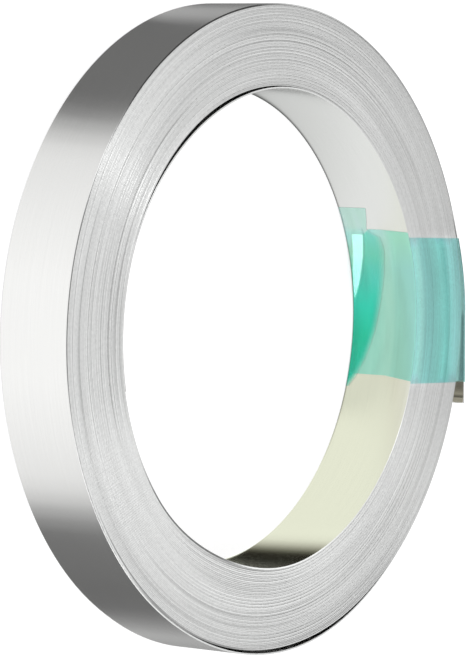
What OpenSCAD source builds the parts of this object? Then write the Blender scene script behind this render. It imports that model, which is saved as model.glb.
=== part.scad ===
// A roll of bright nickel-plated steel strip, wound on itself round an open bore, with its
// straight free end held down by one band of adhesive tape. It lies on one end, round +Z.

/* [Strip] */
// Width of the strip, which is the height of the roll as it lies
strip_w = 8; // [4:0.5:20]
// Thickness of the strip
strip_t = 0.15; // [0.1:0.01:0.3]

/* [Coil] */
// Diameter of the bore, inside the innermost turn
bore_d = 46.8; // [30:0.2:80]
// Number of turns of strip, each wound on the one before
turns = 53; // [12:1:80]
// Air that the winding leaves between one turn and the next
turn_gap = 0.001; // [0:0.001:0.02]
// How far the edge of a turn may stand in or out at the two ends of the coil
edge_wander = 0.04; // [0.01:0.01:0.2]

/* [Outermost turn] */
// How far the outermost turn stands off the coil where it has sprung loose
slack = 0.34; // [0.1:0.02:0.8]
// Angle over which it lifts, on each side of the place where it stands off furthest
slack_reach = 28; // [15:1:40]
// Where it stands off furthest, as an angle from +X, counted the way the turns wind in
slack_at = 269; // [240:1:300]
// How far the free end stands off the coil
tail_off = 0.45; // [0.1:0.05:1]
// Angle over which the strip lifts before it runs off straight
tail_reach = 17; // [10:1:40]
// Length of the free end that runs straight, beyond its highest reach in X
tail_l = 9.7; // [8:0.1:14]

/* [Tape] */
// Width of the tape that is wrapped round the ring over the free end
tape_w = 15; // [8:0.5:20]
// Thickness of the tape
tape_t = 0.06; // [0.04:0.01:0.2]
// How far the tape's middle line passes above the axis of the coil
tape_rise = 1.7; // [0:0.1:3]
// How far the tape leans from a straight line out of the axis, in degrees
tape_lean = -3; // [-5:0.5:0]

/* [Hidden] */

bore_r = bore_d / 2;
turn_pitch = strip_t + turn_gap;
coil_r = bore_r + turns * turn_pitch;
half_w = strip_w / 2;
// The tape lies on the turns that stand out furthest at each end.
seat_z = half_w + edge_wander;
// The outermost turn is fused this deep into the one under it, where it lies tight.
bite = 0.02;
// One slow wave and one quick one run through the winding, in degrees for each turn.
slow_wave = 23;
quick_wave = 137.5;
$fn = 180;

// How far the whole of turn i is shifted along the axis, as a share of edge_wander
function wander(i) = 0.6 * sin(slow_wave * i) + 0.4 * sin(quick_wave * i);

// Inner and outer radius of turn i, counted from the bore, where each turn fills its pitch
function turn_in(i) = bore_r + i * turn_pitch;
function turn_out(i) = turn_in(i) + turn_pitch;

// Lifts what is drawn about the middle of the strip's width until the tape under it is on the floor
module lay_down() {
    translate([0, 0, seat_z + tape_t]) children();
}

// The section of all turns but the outermost: two stepped ends, in which every turn has its own edge
module winding_section() {
    last = turns - 2;
    front = [for (i = [0 : last], r = [turn_in(i), turn_out(i)])
        [r, half_w + edge_wander * wander(i)]];
    back = [for (i = [last : -1 : 0], r = [turn_out(i), turn_in(i)])
        [r, -half_w + edge_wander * wander(i)]];
    polygon(concat(front, back));
}

// A circle of radius r that swells by height towards +X, over reach degrees on each side.
// The swelling is an arc of a smaller circle, joined to the big one by straight lines that
// touch both. It reaches wider than asked where the smaller circle would vanish.
module swollen_circle(r, height, reach) {
    shift = min(height / (1 - cos(reach)), 0.8 * r);
    small_r = r + height - shift;
    along = 1 - height / shift;
    across = sqrt(1 - along * along);
    circle(r = r);
    translate([shift, 0]) circle(r = small_r);
    polygon([
        [r * along, -r * across],
        [shift + small_r * along, -small_r * across],
        [shift + small_r * along, small_r * across],
        [r * along, r * across]
    ]);
}

// Outline of the outermost turn, where r is the radius of the part that lies tight on the coil
module outer_outline(r) {
    rotate([0, 0, slack_at]) swollen_circle(r, slack, slack_reach);
    intersection() {
        swollen_circle(r, tail_off, tail_reach);
        square(2 * r);
    }
}

// The outermost turn: it springs loose, lies tight, lifts again and ends in the straight free end
module outermost_turn() {
    translate([0, 0, -half_w + edge_wander * wander(turns - 1)]) linear_extrude(strip_w) {
        difference() {
            outer_outline(coil_r);
            outer_outline(coil_r - turn_pitch - bite);
        }
        translate([coil_r + tail_off - strip_t, -tail_l]) square([strip_t, tail_l]);
    }
}

module coil() {
    color("silver") lay_down() {
        rotate_extrude() winding_section();
        outermost_turn();
    }
}

// Outline of the ring and its free end, seen along the axis, with skin added on every side
module held_outline(skin) {
    difference() {
        union() {
            outer_outline(coil_r + skin);
            translate([0, -tail_l]) square([coil_r + tail_off + skin, tail_l]);
        }
        circle(r = bore_r - skin);
    }
}

// The strip of space that the tape takes up across the ring, on the +X side only
module tape_path() {
    reach = 2 * coil_r;
    translate([0, tape_rise, 0]) rotate([0, 0, tape_lean])
        translate([0, -tape_w / 2, -strip_w]) cube([reach, tape_w, 2 * strip_w]);
}

module tape() {
    color("mediumaquamarine", 0.7) lay_down() intersection() {
        difference() {
            translate([0, 0, -seat_z - tape_t])
                linear_extrude(2 * (seat_z + tape_t)) held_outline(tape_t);
            translate([0, 0, -seat_z])
                linear_extrude(2 * seat_z) held_outline(0);
        }
        tape_path();
    }
}

coil();
tape();
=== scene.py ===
import math

import bmesh
import bpy
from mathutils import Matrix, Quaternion, Vector, noise


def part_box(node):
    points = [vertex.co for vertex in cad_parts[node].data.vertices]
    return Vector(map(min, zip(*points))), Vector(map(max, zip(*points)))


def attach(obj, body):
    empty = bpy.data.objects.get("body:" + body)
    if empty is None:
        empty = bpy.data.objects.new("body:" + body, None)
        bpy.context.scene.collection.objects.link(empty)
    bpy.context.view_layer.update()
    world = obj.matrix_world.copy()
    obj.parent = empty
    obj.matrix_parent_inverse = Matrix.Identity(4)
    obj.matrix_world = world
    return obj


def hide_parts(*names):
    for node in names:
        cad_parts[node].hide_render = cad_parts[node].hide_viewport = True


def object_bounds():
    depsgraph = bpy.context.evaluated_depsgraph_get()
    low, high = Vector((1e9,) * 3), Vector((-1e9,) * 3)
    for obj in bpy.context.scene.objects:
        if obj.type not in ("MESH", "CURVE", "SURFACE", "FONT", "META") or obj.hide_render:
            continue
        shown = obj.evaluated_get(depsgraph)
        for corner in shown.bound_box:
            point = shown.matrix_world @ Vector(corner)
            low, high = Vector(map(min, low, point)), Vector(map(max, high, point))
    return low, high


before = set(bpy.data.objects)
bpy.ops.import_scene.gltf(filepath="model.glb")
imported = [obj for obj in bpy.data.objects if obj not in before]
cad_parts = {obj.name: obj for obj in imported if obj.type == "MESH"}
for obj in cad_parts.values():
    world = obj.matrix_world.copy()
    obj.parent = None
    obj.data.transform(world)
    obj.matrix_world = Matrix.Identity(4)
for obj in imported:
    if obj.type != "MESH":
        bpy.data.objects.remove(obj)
cad_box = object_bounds()

# The camera: a long lens that looks down on the front end of the roll from the side opposite
# the free end, rolled over so that the roll seems to stand on its rim.
mm = 0.001
camera_aim = Vector((-6.79, 0.5, 8.1)) * mm
camera_bearing = math.radians(174.34)
camera_height = math.radians(37.82)
camera_distance = 387.49 * mm
camera_roll = math.radians(93.39)
camera_lens = 222.88
camera_sensor = 36
camera_nearest = 10 * mm


def outward(bearing, height):
    """Unit vector from the roll towards that bearing and height."""
    return Vector((
        math.cos(height) * math.cos(bearing),
        math.cos(height) * math.sin(bearing),
        math.sin(height),
    ))


camera_data = bpy.data.cameras.new("camera")
camera_data.sensor_width = camera_sensor
camera_data.lens = camera_lens
camera_data.clip_start = camera_nearest
camera = bpy.data.objects.new("camera", camera_data)
bpy.context.collection.objects.link(camera)
towards_camera = outward(camera_bearing, camera_height)
camera.location = camera_aim + towards_camera * camera_distance
camera.rotation_mode = "QUATERNION"
level_look = (-towards_camera).to_track_quat("-Z", "Y")
camera.rotation_quaternion = level_look @ Quaternion((0, 0, 1), camera_roll)
bpy.context.scene.camera = camera
bpy.context.scene.view_settings.view_transform = "Standard"

# The floor and the sky round it: plain white paper under an even white light. Both look pure
# white to the camera and in the metal, and the floor still takes the roll's shadow.
floor_half = 2.0
floor_albedo = 0.5
paper_glow = 0.62
sky_light = 0.72
sky_glow = 1


def whitened_where_seen(nodes, links, plain, glow):
    """Returns a strength: plain for bounced light, and glow where it is seen or mirrored."""
    path = nodes.new("ShaderNodeLightPath")
    direct_or_mirrored = nodes.new("ShaderNodeMath")
    direct_or_mirrored.operation = "MAXIMUM"
    links.new(path.outputs["Is Camera Ray"], direct_or_mirrored.inputs[0])
    links.new(path.outputs["Is Glossy Ray"], direct_or_mirrored.inputs[1])
    looked_at = nodes.new("ShaderNodeMath")
    looked_at.operation = "MAXIMUM"
    links.new(direct_or_mirrored.outputs[0], looked_at.inputs[0])
    links.new(path.outputs["Is Transmission Ray"], looked_at.inputs[1])
    strength = nodes.new("ShaderNodeMapRange")
    strength.inputs["To Min"].default_value = plain
    strength.inputs["To Max"].default_value = glow
    links.new(looked_at.outputs[0], strength.inputs["Value"])
    return strength.outputs["Result"]


paper = bpy.data.materials.new("white paper")
paper.use_nodes = True
nodes, links = paper.node_tree.nodes, paper.node_tree.links
paper_shader = nodes["Principled BSDF"]
paper_shader.inputs["Base Color"].default_value = (floor_albedo, floor_albedo, floor_albedo, 1)
paper_shader.inputs["Roughness"].default_value = 1
paper_shader.inputs["Specular IOR Level"].default_value = 0
paper_shader.inputs["Emission Color"].default_value = (1, 1, 1, 1)
links.new(whitened_where_seen(nodes, links, 0, paper_glow), paper_shader.inputs["Emission Strength"])

bm = bmesh.new()
bmesh.ops.create_grid(bm, x_segments=1, y_segments=1, size=floor_half)
floor_mesh = bpy.data.meshes.new("floor")
bm.to_mesh(floor_mesh)
bm.free()
floor_mesh.materials.append(paper)
floor = bpy.data.objects.new("floor", floor_mesh)
bpy.context.collection.objects.link(floor)

sky = bpy.data.worlds.new("sky")
sky.use_nodes = True
bpy.context.scene.world = sky
nodes, links = sky.node_tree.nodes, sky.node_tree.links
sky_background = nodes["Background"]
sky_background.inputs["Color"].default_value = (1, 1, 1, 1)
links.new(whitened_where_seen(nodes, links, sky_light, sky_glow), sky_background.inputs["Strength"])

# The cards: drawn paper, as is set round polished metal to give its walls something to mirror. It
# shows only in the metal and through the film. The first card lies on the floor and fans out from
# the ring. It is white in the middle and grey at both sides.
card_lift = 0.02 * mm
fan_reach = 40 * mm
fan_step = 2.5
coil_low, coil_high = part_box("coil")
ring_r = -coil_low.x
# How bright a card the outer wall mirrors, by the angle on the wall in degrees.
fan_shades = [
    (84, 0.14), (95, 0.22), (100, 0.42), (105, 0.38), (109, 0.16), (132, 0.17), (136, 0.22),
    (141, 0.60), (145, 0.86), (158, 0.98), (168, 1.06), (186, 1.06), (195, 0.98), (202, 0.90),
    (206, 0.78), (211, 0.34), (215, 0.19), (229, 0.16), (236, 0.17), (242, 0.32), (247, 0.46),
    (255, 0.35), (265, 0.30),
]

mirrored_paper = bpy.data.materials.new("mirrored paper")
mirrored_paper.use_nodes = True
nodes, links = mirrored_paper.node_tree.nodes, mirrored_paper.node_tree.links
paper_shader = nodes["Principled BSDF"]
paper_shader.inputs["Base Color"].default_value = (0, 0, 0, 1)
paper_shader.inputs["Specular IOR Level"].default_value = 0
paper_shader.inputs["Emission Strength"].default_value = 1
shade = nodes.new("ShaderNodeAttribute")
shade.attribute_name = "shade"
links.new(shade.outputs["Color"], paper_shader.inputs["Emission Color"])


def between(pairs, at):
    """Value at a place between (place, value) pairs, in a straight line from each to the next."""
    at = max(at, pairs[0][0])
    for (low, low_value), (high, high_value) in zip(pairs, pairs[1:]):
        if at <= high:
            return low_value + (high_value - low_value) * (at - low) / (high - low)
    return pairs[-1][1]


def between_colours(pairs, at):
    """The same between (place, colour) pairs."""
    return [between([(place, colour[part]) for place, colour in pairs], at) for part in range(3)]


def place_card(name, bm, shades):
    """Puts a drawn card in its place, with one colour for each of its vertices."""
    mesh = bpy.data.meshes.new(name)
    bm.to_mesh(mesh)
    bm.free()
    mesh.materials.append(mirrored_paper)
    colours = mesh.attributes.new("shade", "FLOAT_COLOR", "POINT")
    for vertex_shade, colour in zip(colours.data, shades):
        vertex_shade.color = (*colour, 1)
    card = bpy.data.objects.new(name, mesh)
    bpy.context.collection.objects.link(card)
    card.visible_camera = False
    card.visible_diffuse = False
    card.visible_shadow = False


# The fan's ribs run the way in which the camera's view leaves the wall.
fan_from, fan_to = fan_shades[0][0], fan_shades[-1][0]
bm = bmesh.new()
bmesh.ops.create_grid(bm, x_segments=int((fan_to - fan_from) / fan_step), y_segments=1, size=0.5)
shades = []
for vert in bm.verts:
    degrees = fan_from + (vert.co.x + 0.5) * (fan_to - fan_from)
    angle = math.radians(degrees)
    heading = 2 * angle - camera_bearing
    reach = 0 if vert.co.y < 0 else fan_reach
    vert.co.x = ring_r * math.cos(angle) + reach * math.cos(heading)
    vert.co.y = ring_r * math.sin(angle) + reach * math.sin(heading)
    vert.co.z = card_lift
    shades.append([between(fan_shades, degrees)] * 3)
place_card("fan_card", bm, shades)

# The card in the bore: a grid drawn in to a disc on the floor, with a dark rim round part of it,
# which is painted shade that the bore's back edge mirrors.
# One half is yellow, the other is grey and falls off. The halves meet in a slanting line, and
# across another one the yellow dims. It has one small pinkish patch.
bore_r = 23.4 * mm
bore_yellow = (0.90, 0.925, 0.75)
bore_grey = (0.985, 1, 0.99)
# Along is towards the free end, across is square to that, both in mm from the middle.
halves_meet = -11.65
halves_slope = 0.85
dim_along = 14.6
dim_across = -3.5
dim_slope = 1.05
# How bright the yellow is by the distance past its line, and the grey by the distance across.
yellow_fade = [(-1, 1), (0, 0.94), (0.8, 0.84), (2, 0.84), (3, 0.86), (60, 0.86)]
grey_fade = [(0, 0.92), (8, 0.87), (16, 0.74), (24, 0.62)]
# How much of each colour the patch takes away, where it is and how far it reaches.
pink_patch = (0.20, 0.26, 0.29)
pink_along = 14.0
pink_across = -2.3
pink_reach = 2.2
# How much darker the rim is, the painted shade, by the angle in degrees.
rim_painted_shade = [(-40, 0), (-24, 0.7), (0, 0.85), (180, 0.85)]
rim_w = 0.22 * mm
rim_rings = 2
inner_rings = 22
card_rings = inner_rings + rim_rings
bm = bmesh.new()
bmesh.ops.create_grid(bm, x_segments=2 * card_rings, y_segments=2 * card_rings, size=1)
shades = []
for vert in bm.verts:
    ring = round(card_rings * max(abs(vert.co.x), abs(vert.co.y)))
    if ring < inner_rings:
        radius = (bore_r - rim_rings * rim_w) * ring / inner_rings
    else:
        radius = bore_r - (card_rings - ring) * rim_w
    vert.co = vert.co * radius / (vert.co.length or 1)
    vert.co.z = card_lift
    across, along = vert.co.y / mm, vert.co.x / mm
    grey = [between(grey_fade, max(across, 0)) * share for share in bore_grey]
    past_dim = across - dim_across + dim_slope * (along - dim_along)
    yellow = [between(yellow_fade, past_dim) * share for share in bore_yellow]
    pink = max(1 - math.hypot(along - pink_along, across - pink_across) / pink_reach, 0)
    yellow = [part * (1 - pink * share) for part, share in zip(yellow, pink_patch)]
    lit = yellow if across - halves_slope * along < halves_meet else grey
    degrees = math.degrees(math.atan2(across, along))
    darkened = between(rim_painted_shade, degrees) if ring > inner_rings else 0
    shades.append([part * (1 - darkened) for part in lit])
place_card("bore_card", bm, shades)


def swell(turned, middle, reach):
    """1 at the middle, and falls to nothing at reach on either side; these two are in degrees."""
    off = abs(math.degrees(turned) - middle) / reach
    return 0.5 + 0.5 * math.cos(math.pi * off) if off < 1 else 0.0


# The card at the foot of the bore: a curved one that stands close to the wall where the yellow
# half ends, and goes from yellow to dark and back. It follows the wall, which bulges inwards.
bulge = 0.375 * mm
bulge_middle = 249.5
bulge_reach = 31.5
# Its colours by the angle on the wall in degrees. They lean, and are in place at the plumb height.
foot_shades = [
    (-122, (0.90, 0.925, 0.75)), (-110, (0.35, 0.35, 0.3)), (-99, (0.08, 0.08, 0.07)),
    (-88, (0.06, 0.06, 0.05)), (-81, (0.015, 0.015, 0.01)), (-77, (0.02, 0.018, 0.012)),
    (-75, (0.10, 0.10, 0.07)), (-73, (0.30, 0.30, 0.23)), (-71, (0.56, 0.56, 0.45)),
    (-68.5, (0.82, 0.84, 0.68)), (-65.5, (0.90, 0.925, 0.75)), (-62, (0.90, 0.925, 0.75)),
]
foot_from, foot_to = foot_shades[0][0], foot_shades[-1][0]
foot_steps = 60
foot_off = 0.12 * mm
foot_height = 7.9 * mm
foot_slant = 1.8
foot_plumb = -0.2
bm = bmesh.new()
bmesh.ops.create_grid(bm, x_segments=foot_steps, y_segments=1, size=0.5)
shades = []
for vert in bm.verts:
    degrees = foot_from + (vert.co.x + 0.5) * (foot_to - foot_from)
    angle = math.radians(degrees)
    shades.append(between_colours(foot_shades, degrees - foot_slant * (vert.co.y - foot_plumb)))
    height = (vert.co.y + 0.5) * foot_height
    radius = bore_r - foot_off - bulge * swell(angle + 2 * math.pi, bulge_middle, bulge_reach)
    vert.co = Vector((radius * math.cos(angle), radius * math.sin(angle), height))
place_card("foot_card", bm, shades)

# The card under the slack: a black one, narrow and curved, that lies on the floor under the gap
# inside the outermost turn, where that has sprung loose. It is painted shade, which the metal
# mirrors as the dark of that gap.
slack_middle = 274
slack_reach = 38
slack_card_in = 31.2 * mm
slack_card_w = 0.4 * mm
slack_card_span = 1.5 * slack_reach
slack_card_steps = 24
bm = bmesh.new()
bmesh.ops.create_grid(bm, x_segments=slack_card_steps, y_segments=1, size=0.5)
for vert in bm.verts:
    angle = math.radians(slack_middle + vert.co.x * slack_card_span)
    width = slack_card_w * swell(angle, slack_middle, slack_reach)
    radius = slack_card_in + (vert.co.y + 0.5) * width
    vert.co = Vector((radius * math.cos(angle), radius * math.sin(angle), 2 * card_lift))
place_card("slack_shade_card", bm, [(0, 0, 0)] * len(bm.verts))

# The cards in the gap between the coil and the free end: two that stand across it, painted shade
# that the metal there mirrors. One is dark, and paler on the coil's side. The other is grey, and
# stands just past the strip's end.
gap_middle = Vector((30.87, 0, 4)) * mm
gap_card_w = 1.62 * mm
gap_card_h = 8 * mm
gap_tint = (1, 0.95, 0.75)
for name, place_y, coil_side, strip_side in (
    ("gap_shade_card", -9.15 * mm, 0.36, 0.10),
    ("gap_end_shade_card", -9.72 * mm, 0.33, 0.33),
):
    bm = bmesh.new()
    bmesh.ops.create_grid(bm, x_segments=1, y_segments=1, size=0.5)
    shades = []
    for vert in bm.verts:
        grey = coil_side if vert.co.x < 0 else strip_side
        shades.append([grey * share for share in gap_tint])
        vert.co = gap_middle + Vector((vert.co.x * gap_card_w, place_y, vert.co.y * gap_card_h))
    place_card(name, bm, shades)

# The card in the rest of that gap, where the film bridges it: a pale one, just under the film, which
# is painted light that the gap shows through the film. Its outer half is darker on the side of the
# strip's end, painted shade.
bridge_pale = (0.34, 0.44, 0.42)
bridge_dark = (0.08, 0.17, 0.165)
bridge_dark_from = 0.4
bridge_middle = 0.1 * mm
bridge_length = 14.8 * mm
bridge_inner_r = 31.23 * mm
bridge_outer_r = 31.9 * mm
bridge_outer_x = 31.77 * mm
bridge_below = 0.12 * mm
bridge_steps_across = 4
bridge_steps_along = 16
bm = bmesh.new()
bmesh.ops.create_grid(
    bm, x_segments=bridge_steps_across, y_segments=bridge_steps_along, size=0.5)
shades = []
for vert in bm.verts:
    share = vert.co.x + 0.5
    y = bridge_middle + vert.co.y * bridge_length
    shades.append(bridge_dark if share > bridge_dark_from and y < 0 else bridge_pale)
    from_x = math.sqrt(bridge_inner_r ** 2 - y ** 2)
    to_x = min(bridge_outer_x, math.sqrt(bridge_outer_r ** 2 - max(y, 0) ** 2))
    vert.co = Vector((from_x + share * (to_x - from_x), y, coil_high.z - bridge_below))
place_card("bridge_light_card", bm, shades)

# The lamps: two big soft ones on the camera's side. Bearing and height are in degrees, the size
# is in metres and the power in watts.
lamp_distance = 0.6


def soft_lamp(name, bearing, height, size, power):
    """Hangs a square lamp that faces the roll."""
    data = bpy.data.lights.new(name, "AREA")
    data.shape = "SQUARE"
    data.size = size
    data.energy = power
    lamp = bpy.data.objects.new(name, data)
    towards_lamp = outward(math.radians(bearing), math.radians(height))
    lamp.location = towards_lamp * lamp_distance
    lamp.rotation_mode = "QUATERNION"
    lamp.rotation_quaternion = towards_lamp.to_track_quat("Z", "Y")
    bpy.context.collection.objects.link(lamp)


soft_lamp("lamp_above_camera", bearing=120, height=46, size=0.2, power=1.2)
soft_lamp("lamp_below_camera", bearing=240, height=43, size=0.2, power=1.3)

# The coil: one length of nickel-plated steel strip, rolled, slit and wound on itself. The
# innermost and outermost turns have sprung a little loose, and the outer end runs off straight.
strip_t = 0.15 * mm
strip_w = 7.96 * mm
outer_corner = 0.035 * mm
inner_corner = 0.012 * mm
turn_pitch = 0.1521 * mm
turns_wound = 52.53
tail_length = 9.7 * mm
turn = 2 * math.pi
coil_middle = (coil_low.z + coil_high.z) / 2
# The strip's middle starts at this radius, and draws in by one pitch a turn.
coil_inside_box = 0.013 * mm
first_radius = ring_r - coil_inside_box - strip_t / 2 + turn_pitch / 4
# Where it leaves the even spiral: how far, round which place and how far to either side of it.
# Places are in degrees that it has turned in from the tail.
tail_lift = coil_high.x - strip_t / 2 - first_radius
tail_lift_reach = 20
rim_lift = 0.03 * mm
rim_lift_middle = 150
rim_lift_reach = 110
slack_lift = 0.355 * mm
bore_slack = 0.36 * mm
bore_slack_middle = 360 * 52 + 118
bore_slack_reach = 45
# The inner turns bulge into the bore from one turn on, and wholly from another.
bulge_from = 28
bulge_whole = 51
# The outer turns bulge outwards, each less than the one outside it, up to this turn.
outer_bulge = 0.14 * mm
outer_bulge_middle = 290
outer_bulge_reach = 30
outer_bulge_to = 16


def strip_place(turned):
    """Middle of the strip and its outward side, after it has turned that far in from the tail."""
    if turned < 0:
        return Vector((coil_high.x - strip_t / 2, turned * ring_r, 0)), Vector((1, 0, 0))
    turns_in = turned / turn
    radius = first_radius - turn_pitch * turns_in
    radius += tail_lift * swell(turned, 0, tail_lift_reach)
    radius += rim_lift * swell(turned, rim_lift_middle, rim_lift_reach)
    radius += slack_lift * swell(turned, slack_middle, slack_reach)
    radius -= bore_slack * swell(turned, bore_slack_middle, bore_slack_reach)
    inner_share = min(max(turns_in - bulge_from, 0) / (bulge_whole - bulge_from), 1)
    radius -= bulge * inner_share ** 2 * swell(turned % turn, bulge_middle, bulge_reach)
    outer_share = max(1 - turns_in / outer_bulge_to, 0)
    outer_swell = swell(turned % turn, outer_bulge_middle, outer_bulge_reach)
    radius += outer_bulge * outer_share ** 2 * outer_swell
    out = Vector((math.cos(turned), math.sin(turned), 0))
    return out * radius, out


# How uneven the edges are round the ring, in degrees from the tail.
unevenness = [
    (0, 0.35), (45, 0.35), (60, 0.8), (80, 1), (95, 1.4), (110, 0.85), (128, 0.65), (137, 0.5),
    (145, 1), (155, 0.3), (166, 1), (178, 1.3), (190, 0.8), (203, 0.2), (217, 0.2), (228, 0.8),
    (240, 1.5), (275, 1.4), (290, 0.75), (330, 0.9), (360, 0.5),
]
# They stand up to this far out of the ends, or this far in: every other turn by the first shift,
# single stretches by the second, a few by the third, and the tail by the last.
edge_reach = 0.06 * mm
stagger_shift = 0.022 * mm
loose_shift = 0.03 * mm
stray_shift = 0.12 * mm
tail_shift = 0.05 * mm
tail_shift_reach = 30
# How much every other turn stands apart, and how often along the strip that and the loose
# stretches change.
stagger_least = 0.25
stagger_more = 2.2
stagger_pace = 0.31
loose_pace = 1.7


def round_ring(pairs, turned):
    """Value at that place round the ring."""
    return between(pairs, math.degrees(turned) % 360)


def waver(turned, pace, row):
    """A smooth wavering along the strip; every row is another one."""
    return noise.noise(Vector((turned / turn * pace, *row)))


def stagger(turned):
    """Sets every other turn apart, more in some parts of the coil than in others."""
    uneven = stagger_least + stagger_more * abs(waver(turned, stagger_pace, (9.4, 2.6)))
    uneven *= round_ring(unevenness, turned)
    return uneven * math.cos(turned / 2) * math.sin(turned) ** 2


def edge_shift(turned):
    """How far the strip stands out of the front end; neighbouring turns never agree."""
    loose = waver(turned, loose_pace, (3.3, 7.1))
    loose *= min(round_ring(unevenness, turned), 1)
    shift = stagger_shift * stagger(turned) + loose_shift * loose + stray_shift * loose ** 3
    shift += tail_shift * swell(turned, 0, tail_shift_reach)
    return edge_reach * math.tanh(shift / edge_reach)


def sharpened(place, half, turned):
    """Moves a point of the strip's rounded corners out where the edges are even, else in."""
    rounding = round_ring(unevenness, turned) if turned > turn else 1
    return math.copysign(half - (half - abs(place)) * rounding, place)


# How bright the edges are round the ring, in degrees from the tail, and how much brighter the
# innermost turns are there than the outermost ones. Both are painted reflections, fixed to the roll
# so that they turn with it.
edges_painted_sheen = [
    (0, 0.88), (20, 0.88), (35, 0.90), (60, 0.99), (90, 0.98), (130, 0.99), (140, 1.03), (146, 1.07),
    (155, 1.00), (165, 0.95), (178, 0.93), (190, 0.94), (203, 1.06), (215, 1.05), (225, 1.04),
    (250, 1.06), (285, 1.10), (300, 1.05), (320, 0.97), (340, 0.91), (360, 0.88),
]
inner_painted_sheen = [(0, 0.1), (70, 0.12), (110, 0), (200, 0), (225, 0.18), (345, 0.18), (360, 0.1)]
# Turns whose edges are dull or bright, partly by their own tone and partly by painted glints and
# painted shade, such as the dark line at the outer rim and the glint at the bore's edge: which turn
# from outside, from and to which angle, how bright. At both ends they fade into the rest over so
# many degrees.
marked_edges_tone_and_painted_light = [
    (0, 84, 146, 0.10), (0, 146, 196, 0.38), (0, 186, 222, 0.68), (0, 191, 330, 1.14),
    (0, 10, 75, 0.6), (0, 334, 352, 0.72), (1, 200, 232, 1.1), (1, 222, 268, 0.45),
    (2, 206, 246, 0.5), (5, 140, 190, 0.85), (11, 148, 202, 0.75), (18, 288, 335, 1.1),
    (30, 300, 340, 1.12), (31, 296, 345, 1.16), (37, 145, 200, 1.12), (38, 118, 204, 0.62),
    (44, 146, 200, 0.8), (45, 160, 190, 0.85), (49, 156, 204, 0.78), (50, 110, 168, 1.15),
    (50, 162, 202, 0.8), (50, 240, 272, 0.75), (51, 206, 260, 0.25), (51, 244, 300, 1.15),
    (51, 316, 343, 1.45),
]
mark_fade = 12
# The rest wavers along the strip, has short dull stretches and broad patches over many turns, and
# shows the stagger with painted shade: turns that sit in are darker and those that stand out
# lighter. These say how often and how strongly. The first two are livelier where the edges are
# uneven, within limits.
tone_pace = 4.1
tone_contrast = 0.09
dull_pace = 6.3
dull_above = 0.25
dull_contrast = 0.45
patch_pace = 0.16
patch_spread = 1.8
patch_contrast = 0.09
stagger_painted_shade = 0.08
least_lively = 0.3
most_lively = 1.2


def edge_tone_and_painted_light(turned):
    """Brightness of the slit edge there: its own tone, with the painted reflections, glints and
    shade in it.
    """
    lively = min(round_ring(unevenness, turned) + least_lively, most_lively)
    dull = max(waver(turned, dull_pace, (8.2, 0.4)) - dull_above, 0)
    patch = (patch_spread * math.cos(turned), patch_spread * math.sin(turned))
    tone_and_painted_light = round_ring(edges_painted_sheen, turned)
    tone_and_painted_light *= 1 + tone_contrast * lively * waver(turned, tone_pace, (1.7, 5.2))
    tone_and_painted_light *= 1 - dull_contrast * lively * dull
    tone_and_painted_light *= 1 + patch_contrast * waver(turned, patch_pace, patch)
    tone_and_painted_light *= 1 + round_ring(inner_painted_sheen, turned) * (turned / turn / turns_wound - 0.5)
    tone_and_painted_light *= 1 + stagger_painted_shade * stagger(turned)
    for which, begin, end, bright in marked_edges_tone_and_painted_light:
        along = (turned / turn - which) * 360
        fade = min(max(min(along - begin, end - along) / mark_fade, 0), 1)
        tone_and_painted_light *= 1 - (1 - bright) * fade
    return tone_and_painted_light


# The strip is made straight first, with its length given as the angle that it turns, and the
# tail's as a negative one.
bm = bmesh.new()
bmesh.ops.create_cube(bm, size=1)
tail_turned = tail_length / ring_r
strip_turned = turns_wound * turn + tail_turned
bmesh.ops.scale(bm, vec=(strip_turned, strip_t, strip_w), verts=bm.verts)
bmesh.ops.translate(bm, vec=(strip_turned / 2 - tail_turned, 0, 0), verts=bm.verts)
least_step = 1e-3


def long_edges():
    """The edges that run along the strip."""
    return [e for e in bm.edges if abs(e.verts[0].co.x - e.verts[1].co.x) > least_step]


for corner, side in ((outer_corner, 1), (inner_corner, -1)):
    corner_edges = [e for e in long_edges() if e.verts[0].co.y * side > strip_t / 3]
    bmesh.ops.bevel(bm, geom=corner_edges, offset=corner, offset_type="OFFSET",
                    affect="EDGES", segments=1, profile=0.5, material=-1)

# Its two broad faces are rolled and the rest is slit, with a crisp line between them.
squarely = 0.99
rolled_slot, slit_slot = 0, 1
broad_faces = [f for f in bm.faces if abs(f.normal.y) > squarely]
for face in bm.faces:
    face.smooth = True
    face.material_index = rolled_slot if face in broad_faces else slit_slot
for edge in long_edges():
    edge.smooth = len([f for f in edge.link_faces if f.material_index == rolled_slot]) != 1

# It is divided in two rounds into steps of about two degrees.
steps_by_round = (60, 159)
for steps in steps_by_round:
    bmesh.ops.subdivide_edges(bm, edges=long_edges(), cuts=steps - 1, use_grid_fill=True)

# Where the film covers the edges they are drawn brighter, which is painted light under the film, and
# it fades out at its sides.
painted_light_under_film = 1.5
under_film_fade = 1.2 * mm
under_film_margin = 0.1 * mm
tape_low, tape_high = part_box("tape")
tape_middle = (tape_low.y + tape_high.y) / 2
lit_half = (tape_high.y - tape_low.y) / 2 - under_film_margin

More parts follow.
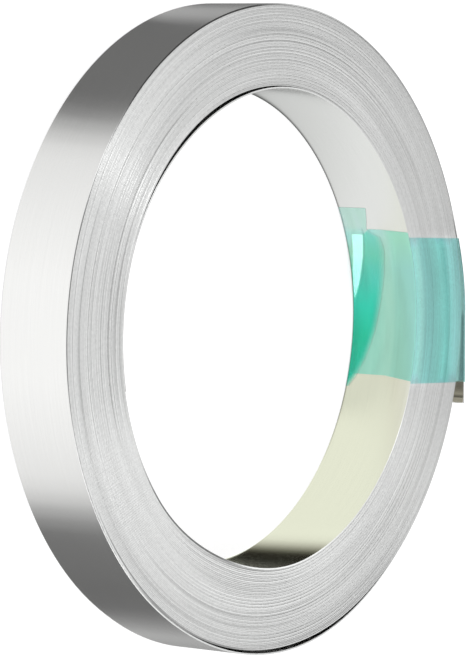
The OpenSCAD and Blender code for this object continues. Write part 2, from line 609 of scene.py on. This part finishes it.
# Then it is wound.
# The edges' tone, with its painted reflections, glints, shade and light, goes into one colour
# attribute.
tone_and_painted_light_layer = bm.verts.layers.float_color.new("tone_and_painted_light")
run = bm.loops.layers.uv.new("along the strip")
for face in bm.faces:
    for loop in face.loops:
        loop[run].uv = (loop.vert.co.x / turn, loop.vert.co.z / strip_w)
for vert in bm.verts:
    turned, proud, across = vert.co
    proud = sharpened(proud, strip_t / 2, turned)
    across = sharpened(across, strip_w / 2, turned)
    middle, out = strip_place(turned)
    vert.co = middle + out * proud
    covered = min(max((lit_half - abs(vert.co.y - tape_middle)) / under_film_fade, 0), 1)
    # Painted light on the edges that the film covers.
    film_painted_light = 1 + (painted_light_under_film - 1) * covered if vert.co.x > 0 else 1
    vert[tone_and_painted_light_layer] = (*[edge_tone_and_painted_light(turned) * film_painted_light] * 3, 1)
    vert.co.z = coil_middle + across + edge_shift(turned)
bmesh.ops.recalc_face_normals(bm, faces=bm.faces)

coil_mesh = bpy.data.meshes.new("wound_strip")
bm.to_mesh(coil_mesh)
bm.free()
coil = bpy.data.objects.new("wound_strip", coil_mesh)
bpy.context.collection.objects.link(coil)

# The rolls leave a faint grain in the strip's faces, in long fine lines along it.
grain_per_turn = 12
grain_across = 55
nickel_dim = (0.828, 0.828, 0.815, 1)
nickel_bright = (0.892, 0.892, 0.879, 1)
rolled = bpy.data.materials.new("rolled nickel face")
rolled.use_nodes = True
nodes, links = rolled.node_tree.nodes, rolled.node_tree.links
shader = nodes["Principled BSDF"]
shader.inputs["Metallic"].default_value = 1
grain_place = nodes.new("ShaderNodeUVMap")
grain_place.uv_map = "along the strip"
grain_drawn_out = nodes.new("ShaderNodeMapping")
grain_drawn_out.inputs["Scale"].default_value = (grain_per_turn, grain_across, 1)
links.new(grain_place.outputs["UV"], grain_drawn_out.inputs["Vector"])
grain = nodes.new("ShaderNodeTexNoise")
grain.inputs["Scale"].default_value = 1
grain.inputs["Detail"].default_value = 3
links.new(grain_drawn_out.outputs["Vector"], grain.inputs["Vector"])
grain_tone = nodes.new("ShaderNodeMix")
grain_tone.data_type = "RGBA"
grain_tone.inputs["A"].default_value = nickel_dim
grain_tone.inputs["B"].default_value = nickel_bright
links.new(grain.outputs["Fac"], grain_tone.inputs["Factor"])
links.new(grain_tone.outputs["Result"], shader.inputs["Base Color"])
grain_sheen = nodes.new("ShaderNodeMapRange")
grain_sheen.inputs["To Min"].default_value = 0.15
grain_sheen.inputs["To Max"].default_value = 0.25
links.new(grain.outputs["Fac"], grain_sheen.inputs["Value"])
links.new(grain_sheen.outputs["Result"], shader.inputs["Roughness"])

# The slitting knives leave the edges duller. A fine speckle of painted glints lies over them, and
# the edges' tone brings its painted reflections and shade.
slit_nickel = (0.624, 0.628, 0.624, 1)
speckles_per_metre = 3200
slit = bpy.data.materials.new("slit nickel edge")
slit.use_nodes = True
nodes, links = slit.node_tree.nodes, slit.node_tree.links
shader = nodes["Principled BSDF"]
shader.inputs["Metallic"].default_value = 1
shader.inputs["Roughness"].default_value = 0.5
# The edges' tone, with its painted reflections, glints and shade.
tone_and_painted_light = nodes.new("ShaderNodeAttribute")
tone_and_painted_light.attribute_name = "tone_and_painted_light"
dimmed = nodes.new("ShaderNodeMix")
dimmed.data_type = "RGBA"
dimmed.blend_type = "MULTIPLY"
dimmed.inputs["Factor"].default_value = 1
dimmed.inputs["A"].default_value = slit_nickel
speckle_place = nodes.new("ShaderNodeTexCoord")
speckle = nodes.new("ShaderNodeTexNoise")
speckle.inputs["Scale"].default_value = speckles_per_metre
speckle.inputs["Detail"].default_value = 1
links.new(speckle_place.outputs["Object"], speckle.inputs["Vector"])
glint = nodes.new("ShaderNodeMapRange")
glint.inputs["From Min"].default_value = 0.3
glint.inputs["From Max"].default_value = 0.7
glint.inputs["To Min"].default_value = 0.95
glint.inputs["To Max"].default_value = 1.04
links.new(speckle.outputs["Fac"], glint.inputs["Value"])
speckled = nodes.new("ShaderNodeVectorMath")
speckled.operation = "SCALE"
links.new(tone_and_painted_light.outputs["Color"], speckled.inputs["Vector"])
links.new(glint.outputs["Result"], speckled.inputs["Scale"])
links.new(speckled.outputs["Vector"], dimmed.inputs["B"])
links.new(dimmed.outputs["Result"], shader.inputs["Base Color"])

coil_mesh.materials.append(rolled)
coil_mesh.materials.append(slit)
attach(coil, "root")
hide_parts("coil")

# The tape: one length of green see-through film, wrapped round the ring over the free end. It
# starts inside the bore, goes round the back, the free end and the front, and its end lies in the
# bore again, over the start.
film_t = 0.015 * mm
film_off = 0.02 * mm
tape_w = 15 * mm
# Its middle line starts this far to the side of the roll's middle, and leans from there.
tape_rise = 1.7 * mm
tape_lean = math.radians(-3)
# It lies this high at the back and at the front, and on this radius in the bore.
back_z = 0.03 * mm
front_z = cad_box[1].z - 0.03 * mm
film_wall = 23.35 * mm
ring_w = coil_high.x - film_wall
# In the bore its start and its end lie this far off that radius, with the limit between them.
# The start is longer here than it is in the end, and is drawn in below.
start_out = -0.02 * mm
end_out = -0.07 * mm
start_is = -0.045 * mm
start_top = 4.0 * mm
end_low = 0.15 * mm
# The film's path across the ring, from its start to its end: how far out, and how high.
film_path = [
    (start_out, start_top), (start_out, back_z), (ring_w + film_off, back_z),
    (ring_w + film_off, front_z), (end_out, front_z), (end_out, end_low),
]
fold_radius = 0.22 * mm
fold_segments = 5
# What is longer than these runs across the film, or along it apart from the folds.
least_across = 1.5 * mm
least_run = 1 * mm
cuts_along = 40
cuts_across = 63

bm = bmesh.new()
bmesh.ops.create_grid(bm, x_segments=len(film_path) - 1, y_segments=1, size=0.5)
for vert in bm.verts:
    out, height = film_path[round((vert.co.x + 0.5) * (len(film_path) - 1))]
    vert.co = Vector((out, vert.co.y * tape_w, height))


def edges_across():
    """The edges that run across the film."""
    return [e for e in bm.edges if abs(e.verts[0].co.y - e.verts[1].co.y) > least_across]


folds = [e for e in edges_across() if len(e.link_faces) == 2]
bmesh.ops.bevel(bm, geom=folds, offset=fold_radius, offset_type="OFFSET",
                affect="EDGES", segments=fold_segments, profile=0.5, material=-1)
across_edges = edges_across()
runs = [e for e in bm.edges if e not in across_edges and e.calc_length() > least_run]
bmesh.ops.subdivide_edges(bm, edges=runs, cuts=cuts_along, use_grid_fill=True)
bmesh.ops.subdivide_edges(bm, edges=edges_across(), cuts=cuts_across, use_grid_fill=True)

# The film leans, so the two measures of a place on the ring depend on each other, and a few
# rounds close in on it.
closing_rounds = 4


def on_ring(out, across, sideways):
    """Where the film lies, that far out from the bore and that far across the film."""
    x = film_wall
    for _ in range(closing_rounds):
        y = tape_rise + x * math.tan(tape_lean) + across / math.cos(tape_lean) + sideways
        wall = math.sqrt(film_wall ** 2 - y ** 2)
        rim = coil_high.x
        if y > 0:
            lift = tail_lift * swell(math.asin(y / ring_r), 0, tail_lift_reach)
            rim = math.sqrt((first_radius + strip_t / 2 + lift + film_off) ** 2 - y ** 2)
        x = wall + out / ring_w * (rim - wall)
    return x, y


# Where the start of the film ends in the bore, by the angle on the wall: height above the floor.
# It is spread out over these degrees, and round the back it draws together again.
start_edge = [
    (-19, 0.5), (-16.4, 1.19), (-11.4, 2.1), (-4.5, 3.0), (3.2, 3.73), (9.6, 4.3), (16, 4.74),
    (19.4, 4.5), (20.6, 3.4), (21.6, 3.0), (24.1, 3.28), (27.4, 3.6),
]
spread_from = -19
spread_over = 46.4
spread_reach = 5 * mm
start_below = 4.5 * mm
start_drawn_above = 0.25 * mm
# Its end there, over the start. One corner of the end has come off the wall and lies in a plane,
# where x is this far out and changes so much with y and with z.
end_edge = [(-19, 0.25), (0, 0.32), (7.2, 0.76), (13.7, 1.27), (22, 1.88)]
end_drawn_below = 4 * mm
corner_out = 23.17 * mm
corner_y = -0.516
corner_z = 1.129
# What counts as in the bore, by how far out it is, as the front, and as the back.
bore_within = 0.3 * mm
front_within = 0.02 * mm
front_deep = 1 * mm
back_high = 1 * mm
# Its sides aren't quite straight. In the bore they drift, near side and far side, at once and
# with the depth, and far down the far side comes back. On the front the far side is pulled in.
near_drift = 0.24 * mm
far_drift = 0.25 * mm
near_deep_drift = 0.45 * mm
far_deep_drift = 0.20 * mm
drift_depth = 3.5 * mm
far_back = 0.5 * mm
far_back_below = 5.6 * mm
far_back_over = 1 * mm
front_pull = 0.22 * mm

# The colour of one pass through the film. Its start is a deeper green, apart from the start's own
# edge, which is clear. Where it bends into the bore it is paler, a painted highlight on the bend.
# The start's colours are by the angle on the wall.
film_clear = Vector((0.92, 1, 0.99))
start_greens = [
    (-19, (0.2, 0.86, 0.80)), (-13, (0.03, 0.90, 0.80)), (-6, (0.03, 0.92, 0.80)),
    (1, (0.2, 0.99, 0.93)), (8, (0.5, 1, 0.98)), (15, (0.70, 1, 0.97)),
    (20, (0.72, 1, 0.95)), (22, (0.83, 1, 0.955)), (28, (0.83, 1, 0.955)),
]
start_edge_fade = 0.8 * mm
start_edge_fade_to = 21
# On the front by how far out from the bore, and in the bore by the height, both in mm. On the front
# it is darker at its outer edge, painted shade over the gap at the free end.
front_greens_with_painted_light = [
    (0, (0.65, 1, 0.96)), (0.3, (0.65, 1, 0.96)), (0.8, (0.68, 1, 0.96)), (1.3, (0.62, 0.94, 0.91)),
    (1.9, (0.54, 0.865, 0.842)), (2.6, (0.53, 0.857, 0.838)), (4, (0.52, 0.885, 0.847)),
    (4.7, (0.54, 0.948, 0.91)), (5.4, (0.465, 0.894, 0.856)), (5.8, (0.54, 0.945, 0.916)),
    (6.2, (0.61, 0.983, 0.96)), (6.8, (0.645, 1, 0.985)), (7.4, (0.575, 0.905, 0.88)),
    (7.9, (0.555, 0.862, 0.86)), (8.3, (0.477, 0.767, 0.755)), (8.45, (0.38, 0.62, 0.61)),
]
bore_greens = [
    (0, (0.66, 0.97, 0.96)), (3.4, (0.70, 1, 1)), (4.4, (0.73, 1, 1)), (5.1, (0.73, 1, 1)),
    (5.7, (0.68, 0.97, 0.97)), (6.4, (0.66, 0.945, 0.935)), (8.1, (0.67, 0.965, 0.95)),
]
# The film is paler at its sides, which is painted light along its edges; in the bore it is paler
# still at the far side. It has faint streaks.
side_w = 1.2 * mm
side_painted_light = 0.15
far_side_from = 0.75
far_side_fade = 0.2
far_side_tint = Vector((1.05, 1.05, 0.97))
streak_contrast = 0.04
streaks_per_mm = (1.3, 0.25, 1)

tints = bm.verts.layers.float_color.new("tint")
for vert in bm.verts:
    out, across, height = vert.co
    depth = front_z - height
    share = across / tape_w + 0.5
    spread_degrees = spread_from + spread_over * share
    spread_angle = math.radians(spread_degrees)
    tint = Vector(between_colours(front_greens_with_painted_light, out / mm))
    tint *= 1 + side_painted_light * max(abs(across) - tape_w / 2 + side_w, 0) / side_w
    in_bore = out < bore_within and depth > front_within
    is_start = in_bore and out > start_is and height < start_below
    if is_start and height > start_drawn_above:
        top = between(start_edge, spread_degrees) * mm
        drawn = (top - start_drawn_above) / (start_top - start_drawn_above)
        height = start_drawn_above + (height - start_drawn_above) * drawn
        x = (film_wall + out) * math.cos(spread_angle)
        y = (film_wall + out) * math.sin(spread_angle)
        deep = min((top - height) / start_edge_fade, 1) if spread_degrees < start_edge_fade_to else 1
        tint = film_clear.lerp(Vector(between_colours(start_greens, spread_degrees)), deep)
    elif in_bore and not is_start:
        far_side = min(max((share - far_side_from) / far_side_fade, 0), 1)
        tint = Vector(between_colours(bore_greens, height / mm))
        tint *= Vector((1, 1, 1)).lerp(far_side_tint, far_side)
        deep_drift = near_deep_drift + (far_deep_drift - near_deep_drift) * share
        sideways = near_drift * (1 - share) + far_drift * share ** 2
        sideways += deep_drift * min(depth / drift_depth, 1)
        sideways -= far_back * share ** 4 * min(max((depth - far_back_below) / far_back_over, 0), 1)
        x, y = on_ring(out, across, sideways)
        if height < end_drawn_below:
            end = between(end_edge, math.degrees(math.atan2(y, x))) * mm
            drawn = (end_drawn_below - end) / (end_drawn_below - end_low)
            height = end + (height - end_low) * drawn
            x = min(x, corner_out + corner_y * y + corner_z * height)
    else:
        x, y = on_ring(out, across, -front_pull * share ** 4 if depth < front_deep else 0)
        if height < back_high:
            spread = max(1 - out / spread_reach, 0)
            x += ((film_wall + out) * math.cos(spread_angle) - x) * spread
            y += ((film_wall + out) * math.sin(spread_angle) - y) * spread
    streak_place = Vector((out, across, height)) * Vector(streaks_per_mm) / mm
    tint *= 1 + streak_contrast * noise.noise(streak_place)
    vert[tints] = (*[min(part, 1) for part in tint], 1)
    vert.co = Vector((x, y, height))
bmesh.ops.recalc_face_normals(bm, faces=bm.faces)
bmesh.ops.solidify(bm, geom=bm.faces[:], thickness=film_t)
bmesh.ops.recalc_face_normals(bm, faces=bm.faces)
sharp_fold = 0.8
for face in bm.faces:
    face.smooth = True
for edge in bm.edges:
    edge.smooth = edge.calc_face_angle() < sharp_fold
tape_mesh = bpy.data.meshes.new("tape_film")
bm.to_mesh(tape_mesh)
bm.free()
tape = bpy.data.objects.new("tape_film", tape_mesh)
bpy.context.collection.objects.link(tape)

film = bpy.data.materials.new("green film")
film.use_nodes = True
nodes, links = film.node_tree.nodes, film.node_tree.links
shader = nodes["Principled BSDF"]
shader.inputs["Roughness"].default_value = 0.1
shader.inputs["IOR"].default_value = 1.4
shader.inputs["Specular Tint"].default_value = (0.75, 1, 0.95, 1)
shader.inputs["Transmission Weight"].default_value = 1
tint = nodes.new("ShaderNodeAttribute")
tint.attribute_name = "tint"
links.new(tint.outputs["Color"], shader.inputs["Base Color"])
tape_mesh.materials.append(film)
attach(tape, "root")
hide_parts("tape")
